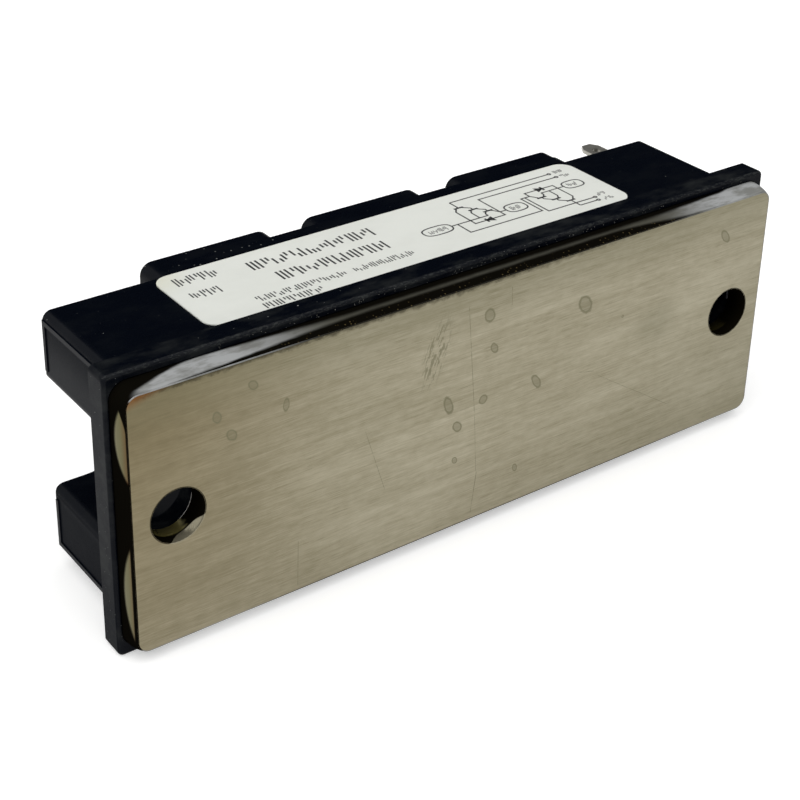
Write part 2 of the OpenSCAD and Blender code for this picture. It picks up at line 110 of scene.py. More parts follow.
class Value:
    """A shader socket that takes part in Python expressions.

    Each operator adds one Math node, and the reflected forms let a number stand first.
    """

    def __init__(self, graph: "Graph", socket: bpy.types.NodeSocket) -> None:
        """Wraps a node's output socket."""
        self.graph = graph
        self.socket = socket

    def maths(self, operation: str, *others: Operand) -> "Value":
        """Result of a Math node with further operands, as numbers or values."""
        return self.graph.node("Math", dict(enumerate((self, *others))), operation=operation)

    __add__ = __radd__ = operator("ADD")
    __sub__ = operator("SUBTRACT")
    __mul__ = __rmul__ = operator("MULTIPLY")
    __truediv__ = operator("DIVIDE")
    __abs__ = operator("ABSOLUTE")
    lesser = operator("MINIMUM")
    greater = operator("MAXIMUM")

    def __rsub__(self, other: Operand) -> "Value":
        """Difference with the number first."""
        return (self * -1.0) + other

    def rise(self, low: float, high: float, start: float = 0.0, end: float = 1.0) -> "Value":
        """Smooth step from start at low to end at high."""
        return self.graph.node("MapRange", {0: self, 1: low, 2: high, 3: start, 4: end},
                               interpolation_type="SMOOTHSTEP")

    def fall(self, low: float, high: float) -> "Value":
        """Smooth step from 1 at low to 0 at high."""
        return self.rise(low, high, 1.0, 0.0)

    def output(self, name: str) -> "Value":
        """Another output of the same node."""
        return Value(self.graph, self.socket.node.outputs[name])


class Graph:
    """A node tree that is built by expressions."""

    def __init__(self, tree: bpy.types.NodeTree) -> None:
        """Takes an empty or default tree and clears it."""
        self.tree = tree
        tree.nodes.clear()

    def node(self, kind: str, inputs: Optional[Dict[Any, Any]] = None,
             out: Union[int, str] = 0, **settings: Any) -> Value:
        """Adds any node.

        Args:
            kind: The node's type, without the words that all types begin with.
            inputs: Numbers, colours or values by socket name or index.
            out: The output that is wanted.
            settings: The node's properties, set first.

        Returns:
            That output as a value, or the first input of a node without outputs.
        """
        made = self.tree.nodes.new("ShaderNode" + kind)
        for key, setting in settings.items():
            setattr(made, key, setting)
        for key, given in (inputs or {}).items():
            if isinstance(given, Value):
                self.tree.links.new(given.socket, made.inputs[key])
            else:
                made.inputs[key].default_value = given
        return Value(self, made.outputs[out]) if made.outputs else Value(self, made.inputs[0])

    def shown(self) -> Value:
        """1 for camera, glossy and transmission rays, which show the background."""
        rays = self.node("LightPath", out="Is Camera Ray")
        return (rays.greater(rays.output("Is Glossy Ray"))
                .greater(rays.output("Is Transmission Ray")))

    def split(self, vector: Value) -> Tuple[Value, Value, Value]:
        """The three parts of a vector."""
        parts = self.node("SeparateXYZ", {0: vector})
        return parts, parts.output("Y"), parts.output("Z")

    def length(self, vector: Value) -> Value:
        """Length of a vector."""
        return self.node("VectorMath", {0: vector}, "Value", operation="LENGTH")

    def span(self, first: Value, second: Value) -> Value:
        """Length of the flat vector that two values make."""
        return self.length(self.node("CombineXYZ", {0: first, 2: second}))

    def blend(self, factor: Operand, first: Any, second: Any) -> Value:
        """Mix of two colours, each a value or a plain colour."""
        colours = {key: given if isinstance(given, Value) else (*given, 1.0)
                   for key, given in ((6, first), (7, second))}
        return self.node("Mix", {0: factor, **colours}, 2, data_type="RGBA")

    def layered(self, base: Any, *layers: Tuple[Operand, Any]) -> Value:
        """A colour under further ones, each given after the factor by which it covers."""
        return reduce(lambda under, layer: self.blend(layer[0], under, layer[1]), layers, base)


class Paint(Graph):
    """A material's node tree with one Principled shader.

    Its place is the object's coordinates in millimetres, and its axes are their three parts.
    """

    def __init__(self, name: str) -> None:
        """Makes the material and its coordinates.

        Args:
            name: The material's name.
        """
        self.material = bpy.data.materials.new(name)
        self.material.use_nodes = True
        super().__init__(self.material.node_tree)
        metres = self.node("TexCoord", out="Object")
        self.place = self.node("VectorMath", {0: metres, "Scale": 1.0 / MM}, operation="SCALE")
        self.axes = self.split(self.place)

    def noise(self, stretch: Union[float, Point3], detail: float = 3.0,
              roughness: float = 0.55, vector: Optional[Value] = None) -> Value:
        """Noise with stretch cells per millimetre, the same along all axes or one for each."""
        cells = self.node("VectorMath", operation="MULTIPLY", inputs={
            0: vector or self.place, 1: np.broadcast_to(stretch, 3)})
        return self.node("TexNoise", {"Vector": cells, "Scale": 1.0, "Detail": detail,
                                      "Roughness": roughness})

    def specks(self, per_mm: float, size: float, share: float) -> Value:
        """Mask of round specks, of a radius of size cells, in a share of the cells."""
        cells = self.node("TexVoronoi", {"Vector": self.place, "Scale": per_mm}, "Distance")
        return (cells.fall(0.5 * size, size)
                * self.split(cells.output("Color"))[0].rise(1.0 - share, 1.0 - 0.8 * share))

    def bump(self, height: Value, depth_mm: float) -> Value:
        """Normal of a height field that is depth_mm deep."""
        return self.node("Bump", {"Height": height, "Distance": depth_mm * MM, "Strength": 1.0})

    def close(self, **sockets: Any) -> Material:
        """Adds the shader and the output.

        Args:
            sockets: Principled sockets, with _ for each space in a name.

        Returns:
            The material.
        """
        inputs = {}
        for key, given in sockets.items():
            plain_colour = isinstance(given, tuple) and len(given) == 3
            inputs[key.replace("_", " ")] = (*given, 1.0) if plain_colour else given
        shader = self.node("BsdfPrincipled", inputs)
        self.node("OutputMaterial", {"Surface": shader})
        return self.material


@dataclass(frozen=True)
class Spot:
    """Oval mark on the plate: place, half sizes in mm, and tilt in degrees."""

    x: float
    z: float
    half_x: float
    half_z: float
    tilt: float = 0.0

    def local(self, paint: Paint) -> Value:
        """Coordinates in which the oval is the unit circle."""
        return paint.node("Mapping", {
            "Vector": paint.place, "Location": (self.x, 0.0, self.z),
            "Rotation": (0.0, math.radians(self.tilt), 0.0),
            "Scale": (self.half_x, FLAT, self.half_z)}, vector_type="TEXTURE")


@dataclass(frozen=True)
class Scratch:
    """Straight scratch on the plate between two points, in mm."""

    start: Point2
    end: Point2
    half_width: float = 0.07

    def mark(self, paint: Paint) -> Value:
        """Mask of the scratch.

        Args:
            paint: The plate's material.

        Returns:
            A value that is 1 along the scratch's middle line.
        """
        start, end = np.array(self.start), np.array(self.end)
        (x, z), (run, rise) = (start + end) / 2, end - start
        tilt = math.degrees(math.atan2(run, rise))
        across, _, along = paint.split(Spot(x, z, 1.0, 1.0, tilt).local(paint))
        half = math.hypot(run, rise) / 2
        return (abs(across).fall(0.3 * self.half_width, self.half_width)
                * abs(along).fall(0.9 * half, half))


@dataclass(frozen=True)
class NickelFinish:
    """Nickel plating with a lengthwise grain, water spots, scratches and painted shade."""

    light: Colour = (0.366, 0.337, 0.253)
    dark: Colour = (0.223, 0.200, 0.133)
    warm_light: Colour = (0.217, 0.180, 0.105)
    warm_dark: Colour = (0.143, 0.116, 0.064)
    side: Colour = (0.36, 0.35, 0.33)
    # Colour of the stains and marks, and of the painted shade and grain lines.
    stain_and_shade: Colour = (0.140, 0.131, 0.080)
    heat_tint: Colour = (0.17, 0.068, 0.018)
    # Painted shade: colour of the dark band along the face's upper edge.
    brow: Colour = (0.038, 0.032, 0.019)
    half_l: float = 45.35
    half_w: float = 15.7
    spots: Tuple[Spot, ...] = tuple(Spot(*row) for row in (
        (-30.7, 12.5, 0.51, 0.69, -41.0), (-26.7, 8.8, 0.40, 0.80, 6.0),
        (-35.1, 10.1, 0.53, 0.74, -15.0), (-33.4, 7.4, 0.57, 0.79, -39.0),
        (0.6, 11.3, 0.74, 0.93, -19.0), (15.2, 8.4, 0.91, 1.36, -34.0),
        (1.5, 6.8, 0.47, 0.77, -30.0), (8.2, 0.2, 0.52, 1.17, -33.0),
        (-4.9, 1.3, 0.60, 1.29, -19.0), (0.2, 0.4, 0.59, 0.62, 51.0),
        (-3.5, -2.0, 0.57, 0.80, -35.0), (-3.7, -6.5, 0.36, 0.48, -31.0),
        (5.6, -10.9, 0.35, 0.57, -15.0), (38.1, 11.2, 0.53, 1.16, -37.0),
        (21.5, 4.9, 0.20, 0.20),
    ))
    scratches: Tuple[Scratch, ...] = tuple(Scratch(*row) for row in (
        ((-2.5, 13.6), (-1.0, -1.2)), ((-1.0, -1.2), (-0.4, -9.4), 0.05),
        ((-0.3, -9.2), (-1.0, -15.0), 0.09), ((-16.5, 2.1), (-13.6, -6.9), 0.05),
        ((-25.3, -9.0), (-25.4, -15.2), 0.06), ((15.0, -0.8), (17.5, -1.4), 0.06),
        ((17.5, -1.8), (31.0, -10.7), 0.05), ((3.7, 14.1), (3.8, 11.6), 0.08),
    ))
    scuff: Spot = Spot(-6.9, 8.7, 1.9, 5.3, 17.7617)
    smudge: Spot = Spot(27.1, 2.3, 5.0, 4.2)

    def _spot_field(self, paint: Paint) -> Value:
        """Uneven distance to the nearest spot, where 1 is the spot's rim."""
        reaches = [paint.length(spot.local(paint)) for spot in self.spots]
        return reduce(Value.lesser, reaches) + (paint.noise(1.6, 2.0) - 0.5) * 0.35

    def make(self) -> Material:
        """Builds the material.

        Returns:
            The material.
        """
        paint = Paint(Slot.PLATE.value)
        x, y, z = paint.axes
        face = y.fall(0.01, 0.06)
        # Grain and clouds.
        fine = paint.noise((0.30, 1.0, 5.5), 4.0, 0.6)
        hair = paint.noise((0.28, 1.0, 11.0), 3.0, 0.65)
        band = paint.noise((0.035, 0.5, 0.9), 4.0, 0.6)
        cloud = paint.noise((0.05, 0.05, 0.09), 3.0)
        mottle = paint.noise((0.7, 1.0, 1.1), 4.0, 0.65)
        tone = fine * 0.5 + hair * 0.55 + band * 0.6 + cloud * 0.45 + mottle * 0.3 - 0.72
        grade = tone.rise(0.18, 0.86)
        lines = hair.fall(0.34, 0.42) * band.fall(0.42, 0.62)
        # Marks: spots with a ring, scratches, a scuffed patch and a smudge.
        spot = self._spot_field(paint)
        inside = spot.fall(0.75, 1.0)
        ring = spot.rise(0.66, 0.86) * spot.fall(0.95, 1.14)
        patch = self.scuff.local(paint)
        streak = paint.noise((5.0, 1.0, 3.6), 3.0, 0.6, patch)
        scuff = paint.length(patch).fall(0.45, 1.1) * streak.rise(0.49, 0.57)
        worn = reduce(Value.greater, [line.mark(paint) for line in self.scratches])
        marks = (worn * mottle.rise(0.30, 0.55)).greater(scuff)
        smudge = paint.length(self.smudge.local(paint)).fall(0.2, 1.1) * cloud.rise(0.35, 0.65)
        # Painted shade along the upper edge and to the lower right, and tarnish at the left.
        from_top = z * -1.0 + self.half_w
        # Painted shade: a narrow dark band right at the upper edge, fading to the right.
        brow = (from_top + (mottle - 0.5) * 1.3).fall(0.10, 0.65) * x.fall(-6.0, 40.0)
        tint = ((x + self.half_l) * 0.3 + from_top).fall(0.3, 1.9)
        shade = (x * 0.02 + z * -0.03 - 0.25).rise(0.0, 1.2)
        # Grain lines and painted shade, darker towards the upper edge and to the lower right.
        lines_and_shade = lines * 0.35 + shade * 0.27 + from_top.fall(0.0, 7.0) * 0.40
        old = paint.blend(grade, self.warm_dark, self.warm_light)
        worked = paint.layered(
            paint.blend(grade, self.dark, self.light),
            (x.fall(-46.0, -14.0) * (z * 0.018 + 0.78), old), (lines_and_shade, self.stain_and_shade),
            (inside * 0.36 + ring * 0.65 + smudge * 0.32, self.stain_and_shade),
            (marks * 0.65, self.stain_and_shade), (brow * 0.8, self.brow), (tint * 0.8, self.heat_tint))
        satin = fine * 0.10 + band * 0.06 + inside * 0.08 + marks * 0.10 + 0.25
        height = fine * 0.5 + band * 0.3 - marks * 0.6 + inside * 0.15
        return paint.close(Base_Color=paint.blend(face, self.side, worked), Metallic=1.0,
                           Roughness=face * satin + (1.0 - face) * 0.1,
                           Normal=paint.bump(height * face, 0.010))


@dataclass(frozen=True)
class Lens:
    """Painted bright reflection on the plate's left-hand side: middle, half length and depth in
    mm.
    """

    z: float
    half: float
    depth: float

    def reach(self, z: Value) -> Value:
        """How deep the patch reaches at a height, as a parabola over its length."""
        off = (z - self.z) * (1.0 / self.half)
        return off * off * -self.depth + self.depth


@dataclass(frozen=True)
class RimFinish:
    """Plating on the plate's curved sides, painted black in the middle as a dark reflection.

    The long sides carry a painted white reflection at both ends, dimmer in clouds, and the
    left-hand side has two painted bright reflections.
    """

    # Painted reflection on the long sides: white, dimmer in clouds.
    film: Colour = (0.325, 0.332, 0.332)
    dim_reflection: Colour = (0.185, 0.187, 0.176)
    # Darker painted reflection along the middle of the long sides.
    streak: Colour = (0.068, 0.066, 0.053)
    speck: Colour = (0.07, 0.052, 0.022)
    # Painted reflections in the left-hand side's patches: olive, brown towards their ends.
    olive: Colour = (0.122, 0.112, 0.055)
    brown: Colour = (0.100, 0.038, 0.013)
    # Painted dark reflection over the rest of the sides.
    black: Colour = (0.0035, 0.003, 0.002)
    half: Point2 = (45.9, 16.25)
    depth: float = 2.55
    lenses: Tuple[Lens, ...] = (Lens(10.5, 5.0, 1.75), Lens(-8.2, 6.7, 1.6))

    def _long_side(self, paint: Paint) -> Tuple[Value, Value]:
        """Part of a long side that carries the painted bright reflection.

        It fills the side at both ends and narrows to a streak in the middle.

        Args:
            paint: The rim's material.

        Returns:
            The part as a mask, and how far into the side's middle a point lies.
        """
        x, y, _ = paint.axes
        left, right = x + self.half[0], x * -1.0 + self.half[0]
        low = left.rise(2.0, 32.0).lesser(right.rise(11.0, 27.0)) * 1.15
        drop = right.rise(5.0, 8.0) * 0.45 + right.rise(7.0, 20.0) * 0.5
        full = (left.rise(6.0, 32.0) * 0.95).lesser(drop) * -1.0 + self.depth
        high = full.lesser(left.rise(-1.0, 10.0) * 2.3 + 0.2)
        wave = (paint.noise((0.5, 2.5, 2.5), 3.0, 0.6) - 0.5) * 0.22
        inner = left.rise(12.0, 27.0) * right.rise(8.0, 20.0)
        soft = inner * 0.9 + 1.0
        mask = (((y - low + wave) / soft).rise(-0.12, 0.18)
                * ((high - y + wave) / soft).rise(-0.15, 0.3))
        lit = (mask * left.rise(1.0, 3.0)).greater(y.fall(0.03, 0.07) * (1.0 - inner * 0.8))
        return lit, inner

    def make(self) -> Material:
        """Builds the material.

        Returns:
            The material.
        """
        paint = Paint("nickel_rim")
        x, y, z = paint.axes
        cloud = paint.noise((0.25, 0.8, 0.8), 4.0, 0.6)
        # Painted reflections: patches on the left-hand side, bands on the long sides, black
        # elsewhere.
        end = ((abs(z) * -1.0 + self.half[1]) - (x + self.half[0])).rise(-0.2, 0.4)
        bulge = reduce(Value.greater, [lens.reach(z) for lens in self.lenses])
        shore = z.fall(-2.0, 3.0) * 0.25 + z.rise(11.5, 15.5)
        patch = (bulge - y).rise(-0.15, 0.25) * (y - shore).rise(0.08, 0.25)
        lit, inner = self._long_side(paint)
        film = paint.blend(cloud.rise(0.42, 0.68), self.film, self.dim_reflection)
        lens_reflection = paint.blend(bulge.rise(0.05, 0.55) * (y.rise(0.1, 1.0) * 0.5 + 0.5),
                              self.brown, self.olive)
        bright = paint.layered(film, (inner, self.streak), (end, lens_reflection))
        mask = end * patch + (1.0 - end) * lit
        dirt = paint.specks(2.8, 0.30, 0.50) * inner * y.fall(0.45, 1.1)
        colour = paint.layered(self.black, (dirt * (1.0 - end), self.speck), (mask, bright))
        return paint.close(Base_Color=colour, Metallic=mask * end, Specular_IOR_Level=0.0,
                           Roughness=cloud * 0.12 + 0.06)


@dataclass(frozen=True)
class BoreFinish:
    """Wall of a mounting hole, painted black as shade; low in the left one a painted highlight on
    the lip and a painted olive reflection deeper in.
    """

    # Painted highlight on the lip, painted olive reflection deeper in, painted shade elsewhere.
    bright: Colour = (0.34, 0.31, 0.22)
    olive: Colour = (0.29, 0.25, 0.082)
    black: Colour = (0.005, 0.004, 0.002)
    hole_x: float = 40.0
    radius: float = 3.25

    def make(self) -> Material:
        """Builds the material.

        Returns:
            The material.
        """
        paint = Paint("bore_plating")
        x, y, z = paint.axes
        cloud = paint.noise((0.6, 0.9, 0.6), 3.0, 0.6)
        across = (x - x.maths("SIGN") * self.hole_x) * (1.0 / self.radius)
        down = z * (-1.0 / self.radius)
        first = x.fall(-1.0, 1.0)
        # Painted highlight: a crescent on the lip, low in the left hole.
        low = (across * 0.45 + down * 0.893).rise(0.66, 1.0)
        lip = (low * 1.3 - y).rise(0.0, 0.15)
        # Painted reflection: an olive patch deep in the lower wall.
        deep = (across * -0.1 + down * 0.99 + (cloud - 0.5) * 0.3).rise(0.72, 0.92)
        patch = deep * y.rise(1.3, 1.6) * (first * 0.9 + 0.1)
        colour = paint.layered(self.black, (lip * first, self.bright), (patch, self.olive))
        return paint.close(Base_Color=colour, Metallic=patch.greater(lip * first) * 0.6,
                           Roughness=cloud * 0.2 + 0.15, Specular_IOR_Level=0.0)


@dataclass(frozen=True)
class MouldingFinish:
    """Black moulded plastic with a faint skin texture, dust, and painted shade on the ends."""

    slot: Slot
    base: Colour = (0.0012, 0.0020, 0.0042)
    dust: Colour = (0.040, 0.043, 0.041)
    fleck: Colour = (0.30, 0.31, 0.29)
    film: float = 0.05
    share: float = 0.10
    dusty: float = 0.05
    gloss: float = 0.005
    coat: float = 0.135
    edge_y: float = 2.7
    edge_z: float = 17.05
    bore_x: float = 40.0
    bore_r: float = 3.6
    ear_x: float = 44.1
    flange_x: float = 46.4

    def make(self) -> Material:
        """Builds the material.

        Returns:
            The material.
        """
        paint = Paint(self.slot.value)
        x, y, z = paint.axes
        skin = paint.noise(9.0, 2.0)
        cloud = paint.noise((0.16, 0.35, 0.35), 5.0, 0.65)
        smear = paint.noise((1.8, 4.5, 4.5), 4.0, 0.7)
        flange = y.fall(5.6, 5.9)
        edge = paint.span(y - self.edge_y, abs(z) - self.edge_z)
        bore = paint.span(abs(x) - self.bore_x, z).fall(self.bore_r, self.bore_r + 0.1)
        rub = edge.fall(0.10, 0.40) * smear.rise(0.50, 0.60)
        film = cloud.rise(0.42, 0.75) * (flange * 0.30 + self.film) + rub * 0.45
        small = paint.specks(2.0, 0.10, self.share)
        large = paint.specks(0.45, 0.05, self.share)
        upper = x.fall(-19.0, -6.0) * z.rise(8.0, 10.5)
        settled = paint.specks(1.3, 0.17, self.dusty) * upper * 0.6
        flecks = ((small * 0.6).greater(large) * (flange * 0.6 + 0.4)).greater(settled)
        colour = paint.layered(self.base, (film, self.dust), (flecks, self.fleck))
        height = skin * 0.6 + flecks * 2.0
        # Painted shade, laid on as less coat: on the ears' end faces below the frames and on the
        # lower ears, and towards the bottom of the flange's ends; the bores lose their coat too.
        panel = abs(abs(x) - self.ear_x).fall(0.03, 0.10) * y.rise(5.6, 5.8)
        panel_shade = panel * (z.rise(9.0, 14.5) * 0.75).greater(z.fall(-9.0, -6.0) * 0.95)
        low_end_shade = abs(x).rise(self.flange_x, self.flange_x + 0.05) * z.fall(-17.0, 6.0) * 0.6
        dull = panel_shade.greater(low_end_shade).greater(bore)
        return paint.close(Base_Color=colour, Specular_IOR_Level=self.gloss,
                           Coat_Weight=(1.0 - dull) * self.coat, Coat_Roughness=0.25,
                           Roughness=film * 0.30 + skin * 0.08 + bore * 0.5 + 0.24,
                           Normal=paint.bump(height, 0.004))


@dataclass(frozen=True)
class LabelFinish:
    """White printed film, a little mottled, with dirt along its cut edge."""

    white: Colour = (0.735, 0.75, 0.70)
    shade: Colour = (0.64, 0.655, 0.605)
    dirt: Colour = (0.36, 0.36, 0.32)
    yellowed: Colour = (0.66, 0.66, 0.53)
    middle: Point2 = (-0.65, 14.65)
    half: Point2 = (30.35, 6.65)

    def make(self) -> Material:
        """Builds the material.

        Returns:
            The material.
        """
        paint = Paint(Slot.LABEL.value)
        x, y, _ = paint.axes
        cloud = paint.noise((0.10, 0.16, 0.16), 4.0, 0.6)
        fibre = paint.noise(3.0, 3.0)
        margin = ((abs(x - self.middle[0]) * -1.0 + self.half[0])
                  .lesser(abs(y - self.middle[1]) * -1.0 + self.half[1]))
        rim = margin.fall(0.02, 0.30) * fibre.rise(0.3, 0.7)
        specks = paint.specks(0.8, 0.07, 0.10)
        corner = paint.span(x - self.middle[0] + self.half[0], y - self.middle[1] - self.half[1])
        colour = paint.layered(
            self.white, (cloud.rise(0.35, 0.75) * 0.5, self.shade),
            (corner.fall(1.0, 5.0) * 0.6, self.yellowed), (rim * 0.35 + specks * 0.5, self.dirt))
        return paint.close(Base_Color=colour, Roughness=fibre * 0.12 + cloud * 0.1 + 0.36,
                           Normal=paint.bump(fibre * 0.3 + cloud * 4.0, 0.006))


@dataclass(frozen=True)
class InkFinish:
    """Black ink, thinner in places."""

    base: Colour = (0.018, 0.018, 0.020)
    worn: Colour = (0.085, 0.085, 0.082)

    def make(self) -> Material:
        """Builds the material.

        Returns:
            The material.
        """
        paint = Paint("label_ink")
        wear = paint.noise(2.2, 3.0)
        colour = paint.blend(wear.rise(0.5, 0.8), self.base, self.worn)
        return paint.close(Base_Color=colour, Roughness=wear * 0.2 + 0.42)


@dataclass(frozen=True)
class MetalFinish:
    """Plated or bare metal with tarnish clouds and fine rub marks along one axis."""

    name: str
    base: Colour
    tarnish: Colour
    rub: Point3 = (0.6, 0.6, 4.0)
    cloud: float = 0.35
    amount: float = 0.6
    roughness: float = 0.24

    def make(self) -> Material:
        """Builds the material.

        Returns:
            The material.
        """
        paint = Paint(self.name)
        cloud = paint.noise(self.cloud, 4.0, 0.6)
        rubs = paint.noise(self.rub, 3.0)
        spots = paint.specks(1.1, 0.16, 0.18)
        dull = (cloud.rise(0.4, 0.75) * self.amount).greater(spots * 0.5)
        colour = paint.blend(dull, self.base, self.tarnish)
        return paint.close(Base_Color=colour, Metallic=1.0,
                           Roughness=cloud * 0.16 + rubs * 0.10 + self.roughness - 0.1,
                           Normal=paint.bump(rubs, 0.006))


@dataclass(frozen=True)
class SolidFinish:
    """Ceramic, silicon, sealant or gel: a mottled body with a fine skin."""

    name: str
    base: Colour
    shade: Colour
    cells: float = 0.5
    roughness: float = 0.4
    metallic: float = 0.0

    def make(self) -> Material:
        """Builds the material.

        Returns:
            The material.
        """
        paint = Paint(self.name)
        cloud = paint.noise(self.cells, 4.0, 0.6)
        skin = paint.noise(6.0, 2.0)
        colour = paint.blend(cloud.rise(0.35, 0.7), self.base, self.shade)
        return paint.close(Base_Color=colour, Metallic=self.metallic,
                           Roughness=skin * 0.15 + cloud * 0.1 + self.roughness - 0.1,
                           Normal=paint.bump(skin, 0.004))


@dataclass
class Shell:
    """Vertices, in mm, and faces of one surface."""

    points: np.ndarray
    faces: np.ndarray

    @staticmethod
    def joined(shells: Sequence["Shell"]) -> "Shell":
        """One shell of several whose faces have as many corners each."""
        starts = np.cumsum([0] + [len(shell.points) for shell in shells[:-1]])
        return Shell(np.concatenate([shell.points for shell in shells]),
                     np.concatenate([shell.faces + start for shell, start in zip(shells, starts)]))

    def outward(self) -> "Shell":
        """Turns the faces over if they look inwards, by the sign of the volume they enclose.

        Returns:
            The shell, or its turned copy.
        """
        first, second, third = (self.points[self.faces[:, i]] for i in range(3))
        volume = np.sum(first * np.cross(second, third))
        if self.faces.shape[1] == 4:
            volume += np.sum(first * np.cross(third, self.points[self.faces[:, 3]]))
        return self if volume > 0 else Shell(self.points, self.faces[:, ::-1])

    def piece(self, name: str, material: Material, slot: Optional[Slot] = None,
              smooth: bool = False) -> bpy.types.Object:
        """Makes an object of the shell, which rides on the body or stands in the studio.

        Args:
            name: The object's name.
            material: Its finish.
            slot: The record's slot that the finish belongs to; none for the studio.
            smooth: Whether its faces are shaded as one curve.

        Returns:
            The object, at the origin.
        """
        mesh = bpy.data.meshes.new(name)
        mesh.from_pydata((self.points * MM).tolist(), [], self.faces.tolist())
        mesh.polygons.foreach_set("use_smooth", np.full(len(mesh.polygons), smooth))
        mesh.materials.append(material)
        mesh.update()
        made = bpy.data.objects.new(name, mesh)
        bpy.context.scene.collection.objects.link(made)
        if slot is None:
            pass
        else:
            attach(made, BODY)
        LOG.info("piece %s: %d faces", name, len(mesh.polygons))
        return made


def around(turn: np.ndarray) -> np.ndarray:
    """Unit vectors round the y axis: cosine, nought and sine of the turn."""
    return np.stack([np.cos(turn), np.zeros_like(turn), np.sin(turn)], -1)


def carried(path: np.ndarray, side: np.ndarray, rise: np.ndarray, profile: np.ndarray,
            closed: bool) -> Shell:
    """Carries a profile along a path.

    Ring i is path[i] + profile[:, 0] * side[i] + profile[:, 1] * rise[i], and
    neighbouring rings are joined by quads. An open path's ends are capped, so the
    profile then has four corners.

    Args:
        path: The middle line, n x 3.
        side: The profile's first axis at each point, n x 3, or one for all.
        rise: The profile's second axis at each point, n x 3, or one for all.
        profile: The profile's corners, m x 2, in order.
        closed: Whether the path meets its start again.

    Returns:
        The closed surface.
    """
    count, corners = len(path), len(profile)
    side, rise = (np.broadcast_to(axis, path.shape)[:, None, :] for axis in (side, rise))
    rings = path[:, None, :] + profile[None, :, :1] * side + profile[None, :, 1:] * rise
    here = np.arange(count if closed else count - 1)[:, None]
    after = (here + 1) % count
    corner = np.arange(corners)[None, :]
    beside = (corner + 1) % corners
    faces = np.stack([here * corners + corner, here * corners + beside,
                      after * corners + beside, after * corners + corner], -1).reshape(-1, 4)
    if not closed:
        last = (count - 1) * corners
        caps = np.array([[3, 2, 1, 0], [last, last + 1, last + 2, last + 3]])
        faces = np.concatenate([faces, caps])
    return Shell(rings.reshape(-1, 3), faces).outward()


def dress(slot: Slot, material: Material) -> List[str]:
    """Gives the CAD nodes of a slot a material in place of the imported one.

    Args:
        slot: The nodes' slot in the record.
        material: The finish.

    Returns:
        The nodes' names.
    """
    names = [row["node"] for row in frame["record"]["subparts"]
             if row["material_slot"] == slot.value]
    for name in names:
        mesh = frame["nodes"][name].data
        mesh.materials.clear()
        mesh.materials.append(material)
        LOG.info("dressed %s with %s", name, material.name)
    return names


